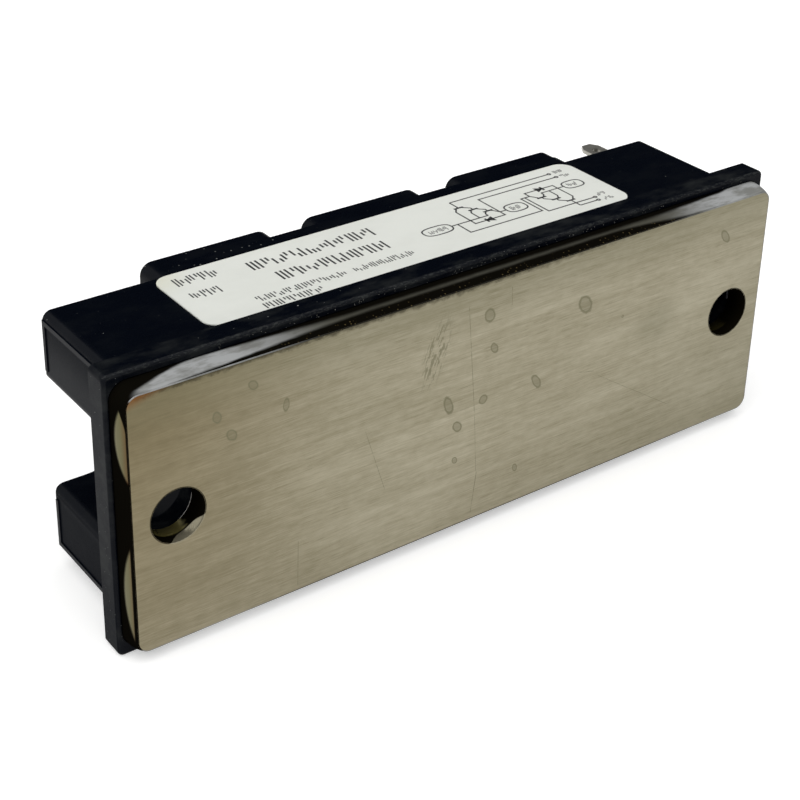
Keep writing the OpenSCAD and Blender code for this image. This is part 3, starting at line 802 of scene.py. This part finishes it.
@dataclass
class BasePlate:
    """Nickel-plated base plate: face, polished rim, bores and the dust in the groove."""

    node: str = "heat_sink_plate"
    finish: NickelFinish = NickelFinish()
    rim_finish: RimFinish = RimFinish()
    bore_finish: BoreFinish = BoreFinish()
    dust_finish: SolidFinish = SolidFinish(
        "groove_dust", (0.13, 0.13, 0.115), (0.04, 0.04, 0.035), 1.5, 0.8)
    proud: float = 2.5
    side_r: float = 6.0
    corner_r: float = 2.0
    corner_steps: int = 25
    skin: float = 0.02
    brow: Tuple[Point2, ...] = ((-0.16, 0.05), (-0.15, -0.012), (-0.10, -0.012),
                                (-0.05, 0.005), (-0.02, 0.04))
    arc_y: Point2 = (0.09, 2.45)
    arc_steps: int = 24
    foot: Point2 = (-0.1, 2.49)
    hole_x: float = 40.0
    hole_r: float = 3.25
    hole_depth: float = 2.95
    hole_steps: int = 96
    lip: Tuple[Point2, ...] = ((-0.02, 0.12), (-0.012, 0.04), (0.02, -0.01),
                               (0.09, -0.01), (0.10, 0.02), (0.02, 0.12))
    crumbs: int = 90
    crumb_size: Point2 = (0.03, 0.10)
    crumb_form: Point3 = (1.0, 0.4, 0.8)
    crumb_out: float = 0.9
    crumb_x: float = 8.0
    crumb_band: Point2 = (0.15, 0.4)
    seed: int = 7

    def build(self) -> None:
        """Dresses the plate, skins its rim and bores and lays the dust."""
        dress(Slot.PLATE, self.finish.make())
        self._rim().piece("plate_rim", self.rim_finish.make(), Slot.PLATE, smooth=True)
        bores = Shell.joined([self._bore(-self.hole_x), self._bore(self.hole_x)])
        bores.piece("plate_bores", self.bore_finish.make(), Slot.PLATE, smooth=True)
        self._crumbs().piece("groove_dust", self.dust_finish.make(), Slot.CASE)

    def _rim(self) -> Shell:
        """Skin over the plate's curved sides.

        The path is the plate's outline: each corner's centre plus the radius times the
        turn's cosine and sine. The section follows the side's arc, root of side_r squared
        less the height below the flange squared, and rounds the corner to the face.

        Returns:
            The skin as a closed surface.
        """
        half = np.array(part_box(self.node)[1]) / MM - self.corner_r
        turn = (np.linspace(0.0, np.pi / 2, self.corner_steps)[None, :]
                + np.pi / 2 * np.arange(4)[:, None])
        out = around(turn)
        signs = np.array([[1, 0, 1], [-1, 0, 1], [-1, 0, -1], [1, 0, -1]])
        path = (signs * half)[:, None, :] + self.corner_r * out
        depth = np.append(np.linspace(*self.arc_y, self.arc_steps), self.foot[1])
        arc = np.sqrt(self.side_r ** 2 - (self.proud - depth) ** 2) - self.side_r + self.skin
        section = np.concatenate([np.array(self.brow) + [arc[0], 0.0],
                                  np.stack([arc, depth], 1), [self.foot]])
        return carried(path.reshape(-1, 3), out.reshape(-1, 3), ALONG_Y, section, True)

    def _bore(self, middle: float) -> Shell:
        """Skin in a mounting hole: a low-lipped section turned about the hole's axis.

        Args:
            middle: The hole's place along x.

        Returns:
            The skin as a closed surface.
        """
        out = around(np.linspace(0.0, 2.0 * np.pi, self.hole_steps, endpoint=False))
        path = np.array([middle, 0.0, 0.0]) + self.hole_r * out
        inner, outer = (-self.skin, self.hole_depth), (self.skin, self.hole_depth)
        section = np.array([inner, *self.lip, outer])
        return carried(path, out, ALONG_Y, section, True)

    def _crumbs(self) -> Shell:
        """Flattened octahedra on the flange's front face, along the plate's upper edge.

        A crumb's six corners are plus and minus its three half sizes along the axes,
        and its half size along y is what it stands out from the face.

        Returns:
            All crumbs as one shell.
        """
        draw = np.random.default_rng(self.seed)
        corners = np.array([[1, 0, 0], [-1, 0, 0], [0, 1, 0], [0, -1, 0], [0, 0, 1], [0, 0, -1]])
        order = np.array([[0, 2, 4], [2, 1, 4], [1, 3, 4], [3, 0, 4],
                          [2, 0, 5], [1, 2, 5], [3, 1, 5], [0, 3, 5]])
        plate, case = (np.array(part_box(name)[1]) / MM for name in (self.node, "case"))
        half = draw.uniform(*self.crumb_size, (self.crumbs, 3)) * np.array(self.crumb_form)
        low, high = plate[2] + self.crumb_band[0], case[2] - self.crumb_band[1]
        middle = np.stack([draw.triangular(-plate[0], self.crumb_x, plate[0], self.crumbs),
                           self.proud - self.crumb_out * half[:, 1],
                           draw.uniform(low, high, self.crumbs)], 1)
        points = (middle[:, None, :] + corners[None] * half[:, None, :]).reshape(-1, 3)
        faces = (order[None] + len(corners) * np.arange(self.crumbs)[:, None, None]).reshape(-1, 3)
        return Shell(points, faces).outward()


@dataclass
class Housing:
    """Moulded case with its ears, and the cover with the terminal islands."""

    case_finish: MouldingFinish = MouldingFinish(Slot.CASE)
    cover_finish: MouldingFinish = MouldingFinish(Slot.COVER, film=0.06, share=0.16, dusty=0.6)
    frame_finish: MouldingFinish = MouldingFinish(Slot.CASE, film=0.10, coat=0.20)
    end_x: float = 44.1
    rim_y: float = 21.35
    side_z: float = 14.75
    slot_z: float = 8.4
    foot_y: float = 5.7
    frame_w: float = 0.75
    frame_h: float = 0.13
    frame_root: float = -0.4
    bevel: float = 0.1

    def build(self) -> None:
        """Dresses both mouldings and frames the ears' end faces."""
        dress(Slot.CASE, self.case_finish.make())
        dress(Slot.COVER, self.cover_finish.make())
        frames = [self._frame(end, side) for end in (-1.0, 1.0) for side in (-1.0, 1.0)]
        Shell.joined(frames).piece("ear_frames", self.frame_finish.make(), Slot.CASE)

    def _frame(self, end: float, side: float) -> Shell:
        """Low frame round two edges of an ear's end face.

        The path runs along the rim from the screw slot, turns at the case's corner and
        runs down the long side; the section is a bar that reaches inwards from the path.

        Args:
            end: -1 for the left-hand end, 1 for the right-hand one.
            side: 1 for the label's side, -1 for the other.

        Returns:
            The frame as a closed surface.
        """
        x, y, z = end * self.end_x, self.rim_y, side * self.side_z
        path = np.array([[x, y, side * self.slot_z], [x, y, z], [x, self.foot_y, z]])
        inward = np.array([[0.0, -1.0, 0.0], [0.0, -1.0, -side], [0.0, 0.0, -side]])
        wide, high, root, bevel = self.frame_w, self.frame_h, self.frame_root, self.bevel
        section = np.array([[0.0, root], [wide, root], [wide - bevel, high], [bevel, high]])
        return carried(path, inward, np.array([end, 0.0, 0.0]), section, False)


@dataclass(frozen=True)
class PrintLine:
    """Line of blank print on the label: start, run and height in mm, and its characters."""

    x: float
    y: float
    run: float
    height: float
    count: int


@dataclass
class RatingLabel:
    """Film on the upper long side, with a plain circuit diagram and blank lines of print."""

    node: str = "label"
    finish: LabelFinish = LabelFinish()
    ink: InkFinish = InkFinish()
    ink_h: float = 0.012
    line_w: float = 0.20
    thick_w: float = 0.3
    tick_w: float = 0.14
    tick_step: float = 0.3
    tick_heights: Point3 = (1.0, 0.7, 0.45)
    tick_rests: Point3 = (0.0, 0.5, 1.0)
    sharpest: float = 0.3
    oval_steps: int = 48
    oval_power: float = 0.7
    dot: Point2 = (0.2, 0.2)
    seed: int = 11
    print_lines: Tuple[PrintLine, ...] = tuple(PrintLine(*row) for row in (
        (-29.0, 18.1, 5.6, 1.9, 4), (-29.0, 14.5, 3.9, 1.6, 3), (-19.9, 16.95, 17.4, 2.1, 9),
        (-18.3, 13.2, 15.2, 2.1, 8), (-23.4, 10.2, 12.0, 1.2, 10), (-10.5, 10.2, 8.5, 1.2, 8),
        (-23.5, 8.4, 7.9, 1.25, 6), (2.3, 13.35, 2.8, 1.0, 4), (14.8, 13.35, 1.6, 1.0, 2),
        (25.3, 14.85, 1.6, 1.0, 2), (26.4, 19.0, 1.5, 0.8, 2), (26.4, 17.6, 1.5, 0.8, 2),
        (26.4, 10.8, 1.5, 0.8, 2), (26.4, 9.4, 1.5, 0.8, 2),
    ))
    first_base: Point2 = (9.5, 17.5)
    turn_about: Point2 = (16.03, 14.6)

    def build(self) -> None:
        """Dresses the film and prints on it."""
        dress(Slot.LABEL, self.finish.make())
        shells = self._text_lines() + self._diagram()
        Shell.joined(shells).piece("label_print", self.ink.make(), Slot.LABEL)

    def _stroke(self, points: Sequence[Point2], width: Optional[float] = None) -> Shell:
        """Flat stroke of ink along straight stretches.

        At each point the stroke is laid out along the mitre of the two stretches that
        meet there: the sum of their normals over one plus the normals' product.

        Args:
            points: Corners of the line on the label, as x and y in mm.
            width: The stroke's width, or the diagram's.

        Returns:
            The stroke as a closed bar.
        """
        flat = np.array(points, float)
        step = np.diff(flat, axis=0)
        step /= np.linalg.norm(step, axis=1, keepdims=True)
        normal = np.stack([-step[:, 1], step[:, 0]], 1)
        before = np.concatenate([normal[:1], normal])
        after = np.concatenate([normal, normal[-1:]])
        share = 1.0 + np.sum(before * after, 1, keepdims=True)
        mitre = (before + after) / np.maximum(share, self.sharpest)
        return self._bar(flat, mitre, width or self.line_w, False)

    def _loop(self, middle: Point2, half: Point2, square: float = 1.0) -> Shell:
        """Closed oval of ink: middle plus half times the signed powers of cosine and sine.

        Args:
            middle: The oval's middle on the label.
            half: Its half sizes.
            square: The power, below 1 for an oval with flatter sides.

        Returns:
            The oval as a closed bar.
        """
        turn = np.linspace(0.0, 2.0 * np.pi, self.oval_steps, endpoint=False)
        unit = np.stack([np.cos(turn), np.sin(turn)], 1)
        flat = np.array(middle) + np.array(half) * np.sign(unit) * np.abs(unit) ** square
        run = np.roll(flat, -1, 0) - np.roll(flat, 1, 0)
        run /= np.linalg.norm(run, axis=1, keepdims=True)
        return self._bar(flat, np.stack([-run[:, 1], run[:, 0]], 1), self.line_w, True)

    def _bar(self, flat: np.ndarray, across: np.ndarray, width: float, closed: bool) -> Shell:
        """Carries the ink's flat section along a line on the label.

        Args:
            flat: The line's points, n x 2.
            across: Direction of the section at each point, n x 2.
            width: Width of the section.
            closed: Whether the line meets its start again.

        Returns:
            The bar.
        """
        count = len(flat)
        path = np.concatenate([flat, np.full((count, 1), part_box(self.node)[1].z / MM)], 1)
        side = np.concatenate([across, np.zeros((count, 1))], 1)
        half, top = width / 2, self.ink_h
        profile = np.array([[-half, 0.0], [half, 0.0], [half, top], [-half, top]])
        return carried(path, side, ALONG_Z, profile, closed)

    def _text_lines(self) -> List[Shell]:
        """Blank print: three upright ticks of uneven height for each character.

        Returns:
            The ticks of all lines.
        """
        draw = np.random.default_rng(self.seed)
        shells: List[Shell] = []
        for line in self.print_lines:
            pitch = line.run / line.count
            ticks = np.arange(line.count)[:, None] + self.tick_step * np.arange(3)
            places = line.x + pitch * ticks.ravel()
            high = line.height * draw.choice(self.tick_heights, len(places))
            low = line.y + (line.height - high) * draw.choice(self.tick_rests, len(places))
            shells += [self._stroke([(x, y), (x, y + rise)], self.tick_w * pitch)
                       for x, y, rise in zip(places, low, high)]
        return shells

    def _cascade(self, turned: bool) -> List[Shell]:
        """Three transistors in cascade with a diode across them.

        Each line is given from the first base; a half turn takes a point to twice the
        turn's middle less the point.

        Args:
            turned: Whether the whole is turned half round.

        Returns:
            The strokes.
        """
        thin: List[List[Point2]] = [
            [(0.0, 1.8), (0.0, 0.0)],
            [(-0.35, 0.0), (-1.0, -0.8), (-1.0, -4.65), (3.57, -4.65), (3.57, -3.65)],
            [(0.35, 0.0), (1.25, -0.8), (1.25, -1.3)],
            [(0.9, -1.3), (0.45, -2.0), (0.45, -3.65)],
            [(1.6, -1.3), (2.5, -2.1), (2.5, -2.6)],
            [(2.15, -2.6), (1.7, -3.2), (1.7, -3.65)],
            [(2.85, -2.6), (3.57, -3.65)],
            [(-1.0, -3.65), (1.7, -3.65)],
        ]
        thick: List[List[Point2]] = [
            [(-0.7, 0.0), (0.7, 0.0)], [(0.55, -1.3), (1.95, -1.3)], [(1.8, -2.6), (3.2, -2.6)],
            [(0.75, -4.15), (0.75, -5.15)],
            [(1.6, -4.65), (1.6, -4.25), (0.85, -4.65), (1.6, -5.05), (1.6, -4.65)],
        ]
        shells: List[Shell] = []
        for lines, width in ((thin, self.line_w), (thick, self.thick_w)):
            for line in lines:
                points = np.array(self.first_base) + np.array(line)
                points = 2.0 * np.array(self.turn_about) - points if turned else points
                shells.append(self._stroke(points, width))
        return shells

    def _diagram(self) -> List[Shell]:
        """Two cascades in series, an oval for each main terminal and four control leads.

        Returns:
            The strokes and ovals.
        """
        shells = self._cascade(False) + self._cascade(True)
        wires: List[List[Point2]] = [
            [(9.5, 19.3), (25.3, 19.3)],
            [(13.07, 13.85), (13.07, 18.1), (25.5, 18.1)],
            [(5.6, 13.85), (8.5, 13.85)],
            [(13.07, 13.85), (14.05, 13.85)],
            [(6.55, 13.85), (6.55, 11.26), (17.6, 11.26), (17.6, 15.35), (18.99, 15.35)],
            [(18.2, 15.35), (18.2, 10.75), (25.5, 10.75)],
            [(22.56, 9.9), (25.3, 9.9)],
            [(23.56, 15.35), (24.55, 15.35)],
        ]
        shells += [self._stroke(points) for points in wires]
        ovals = (((3.56, 13.85), (2.05, 1.05)), ((15.55, 13.85), (1.5, 1.05)),
                 ((26.05, 15.35), (1.5, 1.0)))
        shells += [self._loop(middle, half, self.oval_power) for middle, half in ovals]
        ends = ((25.5, 19.3), (25.7, 18.1), (25.7, 10.75), (25.5, 9.9))
        return shells + [self._loop(middle, self.dot) for middle in ends]


@dataclass
class ScrewTerminals:
    """Three tinned terminals, the captive nuts under them and the nuts' threads."""

    tin: MetalFinish = MetalFinish(
        Slot.TERMINAL.value, (0.66, 0.65, 0.62), (0.42, 0.40, 0.36), rub=(4.0, 0.6, 0.6))
    zinc: MetalFinish = MetalFinish(
        Slot.NUT.value, (0.58, 0.585, 0.58), (0.36, 0.35, 0.31), cloud=0.8)
    bore_r: float = 2.1
    sink: float = 0.02
    crest: float = 0.17
    tip: float = 0.04
    pitch: float = 0.8
    foot: float = 0.62
    margin: float = 0.05
    steps: int = 40

    def build(self) -> None:
        """Dresses terminals and nuts and cuts the threads."""
        dress(Slot.TERMINAL, self.tin.make())
        zinc = self.zinc.make()
        for nut in dress(Slot.NUT, zinc):
            name = nut.replace("nut", "thread")
            self._thread(nut).piece(name, zinc, Slot.NUT, smooth=True)

    def _thread(self, nut: str) -> Shell:
        """Ridge of the thread inside a nut.

        The path is a helix on the bore: radius times cosine and sine of the turn, risen
        by the pitch for each turn. The section is a low wedge that points to the axis.

        Args:
            nut: The nut's node, whose box gives the axis and the length.

        Returns:
            The ridge as a closed surface.
        """
        low, high = (np.array(corner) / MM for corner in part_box(nut))
        axis = (low + high) / 2
        length = high[1] - low[1] - self.foot - 2.0 * self.margin
        turns = length / self.pitch
        turn = np.linspace(0.0, 2.0 * np.pi * turns, int(self.steps * turns))
        out = around(turn)
        half, crest, tip = self.foot / 2, self.crest, self.tip
        path = axis + out * (self.bore_r + self.sink)
        path[:, 1] = low[1] + self.margin + half + self.pitch * turn / (2.0 * np.pi)
        profile = np.array([[0.0, -half], [0.0, half], [-crest, tip], [-crest, -tip]])
        return carried(path, out, ALONG_Y, profile, False)


@dataclass
class ControlTabs:
    """Four flat tabs on the right-hand ears."""

    finish: MetalFinish = MetalFinish(
        Slot.TAB.value, (0.42, 0.41, 0.37), (0.20, 0.19, 0.16), rub=(0.7, 4.0, 0.7),
        cloud=0.6, amount=0.7, roughness=0.38)

    def build(self) -> None:
        """Dresses the tabs."""
        dress(Slot.TAB, self.finish.make())


@dataclass
class PottedCircuit:
    """What is sealed inside: ceramics, pads, chips, wires, leads, seal and gel."""

    finishes: Tuple[Union[MetalFinish, SolidFinish], ...] = (
        MetalFinish(Slot.COPPER.value, (0.72, 0.36, 0.22), (0.34, 0.16, 0.10), roughness=0.3),
        MetalFinish(Slot.WIRE.value, (0.76, 0.77, 0.78), (0.55, 0.56, 0.57), cloud=1.5),
        SolidFinish(Slot.ALUMINA.value, (0.86, 0.85, 0.81), (0.78, 0.77, 0.72), 0.8, 0.5),
        SolidFinish(Slot.SILICON.value, (0.20, 0.22, 0.26), (0.30, 0.31, 0.34), 0.4, 0.25, 0.6),
        SolidFinish(Slot.SEALANT.value, (0.09, 0.09, 0.10), (0.05, 0.05, 0.055), 1.0, 0.6),
        SolidFinish(Slot.GEL.value, (0.58, 0.64, 0.62), (0.48, 0.55, 0.53), 0.2, 0.25),
    )

    def build(self) -> None:
        """Dresses the nodes by their slots in the record."""
        for finish in self.finishes:
            dress(Slot(finish.name), finish.make())


@dataclass(frozen=True)
class Softbox:
    """Overhead lamp that shines straight down: middle, sides in metres, and brightness."""

    name: str
    middle: Point3
    sides: Point2
    brightness: float

    def hang(self) -> None:
        """Adds the lamp; a flat lamp's power is pi times brightness times area."""
        lamp = bpy.data.lights.new(self.name, "AREA")
        lamp.shape = "RECTANGLE"
        lamp.size, lamp.size_y = self.sides
        lamp.energy = math.pi * self.brightness * self.sides[0] * self.sides[1]
        made = bpy.data.objects.new(self.name, lamp)
        made.location = self.middle
        made.visible_camera = False
        bpy.context.scene.collection.objects.link(made)


@dataclass
class Studio:
    """Pale floor, a sky that is dark on one side, three softboxes, a card and the camera.

    Floor, card and camera are in millimetres and degrees.
    """

    floor_z: float = CAD_BOX[0].z / MM
    floor_half: float = 3000.0
    floor_points: int = 5
    floor_colour: Colour = (0.80, 0.80, 0.79)
    floor_worn: float = 0.98
    floor_cloud: Point2 = (0.01, 2.0)
    floor_glow: float = 0.42
    sky_light: float = 0.80
    sky_dark: float = 0.02
    sky_from: Point3 = (-0.6, -0.6, 0.5)
    sky_turn: Point2 = (0.0, 0.5)
    boxes: Tuple[Softbox, ...] = (
        Softbox("softbox_left", (-0.36, -0.075, 0.80), (1.68, 1.65), 1.0),
        Softbox("softbox_right", (1.15, 0.475, 0.80), (0.70, 0.65), 1.2),
        Softbox("softbox_far", (0.64, 0.60, 0.80), (0.32, 0.40), 0.14),
    )
    flag_middle: Point3 = (360.0, 500.0, 300.0)
    flag_half: Point2 = (500.0, 340.0)
    flag_colour: Colour = (0.01, 0.01, 0.012)
    aim: Point3 = (-17.1746, 0.0, 25.4718)
    azimuth: float = -35.3385
    elevation: float = 25.7601
    roll: float = 0.7567
    distance: float = 177.0258
    lens: float = 76.8107
    sensor: float = 36.0
    shift: Point2 = (0.0469, -0.2)
    clip_m: Point2 = (0.01, 50.0)

    def build(self) -> None:
        """Sets up floor, light and camera."""
        bpy.context.scene.view_settings.view_transform = "Standard"
        self._floor()
        self._sky()
        self._flag()
        for box in self.boxes:
            box.hang()
        self._camera()

    def _floor(self) -> None:
        """Square grid of points, matt, with a faint glow to the eye and in gloss."""
        count = self.floor_points
        line = np.linspace(-self.floor_half, self.floor_half, count)
        x, y = np.meshgrid(line, line)
        points = np.stack([x, y, np.full_like(x, self.floor_z)], -1).reshape(-1, 3)
        first = np.arange(count * count).reshape(count, count)[:-1, :-1].reshape(-1, 1)
        faces = first + np.array([0, 1, count + 1, count])
        paint = Paint("floor")
        worn = tuple(self.floor_worn * part for part in self.floor_colour)
        tone = paint.blend(paint.noise(*self.floor_cloud), self.floor_colour, worn)
        matt = paint.node("BsdfDiffuse", {"Color": tone})
        glow = paint.node("Emission", {"Strength": paint.shown() * self.floor_glow})
        both = paint.node("AddShader", {0: matt, 1: glow})
        paint.node("OutputMaterial", {"Surface": both})
        Shell(points, faces).piece("floor", paint.material)

    def _sky(self) -> None:
        """Sky that shows white and, as a light, comes from the left and front."""
        world = bpy.data.worlds.new("sky")
        world.use_nodes = True
        bpy.context.scene.world = world
        graph = Graph(world.node_tree)
        around_us = graph.node("TexCoord", out="Generated")
        towards = graph.node("VectorMath", {0: around_us, 1: self.sky_from}, "Value",
                             operation="DOT_PRODUCT")
        light = towards.rise(*self.sky_turn) * (self.sky_light - self.sky_dark) + self.sky_dark
        shown = graph.shown()
        strength = shown + (1.0 - shown) * light
        shader = graph.node("Background", {"Color": (1.0,) * 4, "Strength": strength})
        graph.node("OutputWorld", {"Surface": shader})

    def _flag(self) -> None:
        """Black card behind the part on the right, which only its gloss reflects.

        The card is a grid of two by two points: its middle plus and minus half its
        width along the level line and half its height along the line across it.
        """
        middle = np.array(self.flag_middle)
        facing = middle / np.linalg.norm(middle)
        level = np.array([facing[1], -facing[0], 0.0])
        level /= np.linalg.norm(level)
        across, tall = level * self.flag_half[0], np.cross(level, facing) * self.flag_half[1]
        points = middle + np.array([-across - tall, across - tall, across + tall, tall - across])
        black = Paint("flag").close(Base_Color=self.flag_colour, Roughness=1.0,
                                    Specular_IOR_Level=0.0)
        flag = Shell(points, np.array([[0, 1, 2, 3]])).piece("flag", black)
        flag.visible_camera = flag.visible_diffuse = flag.visible_shadow = False

    def _camera(self) -> None:
        """Camera on a sphere round its aim: turned, lifted, and rolled about its own axis."""
        turn, lift, roll = (math.radians(a) for a in (self.azimuth, self.elevation, self.roll))
        turned = (Matrix.Rotation(turn, 4, "Z") @ Matrix.Rotation(math.pi / 2 - lift, 4, "X")
                  @ Matrix.Rotation(roll, 4, "Z"))
        place = (Vector(self.aim) + turned.col[2].xyz * self.distance) * MM
        data = bpy.data.cameras.new("camera")
        data.lens, data.sensor_width = self.lens, self.sensor
        data.shift_x, data.shift_y = self.shift
        data.clip_start, data.clip_end = self.clip_m
        made = bpy.data.objects.new("camera", data)
        made.matrix_world = Matrix.Translation(place) @ turned
        bpy.context.scene.collection.objects.link(made)
        bpy.context.scene.camera = made


def main() -> None:
    """Builds the sub-assemblies in order, then the studio."""
    logging.basicConfig(level=logging.INFO, format="%(name)s: %(message)s")
    for part in (BasePlate(), Housing(), RatingLabel(), ScrewTerminals(), ControlTabs(),
                 PottedCircuit(), Studio()):
        part.build()
        LOG.info("built %s", type(part).__name__)


if __name__ == "__main__":
    main()
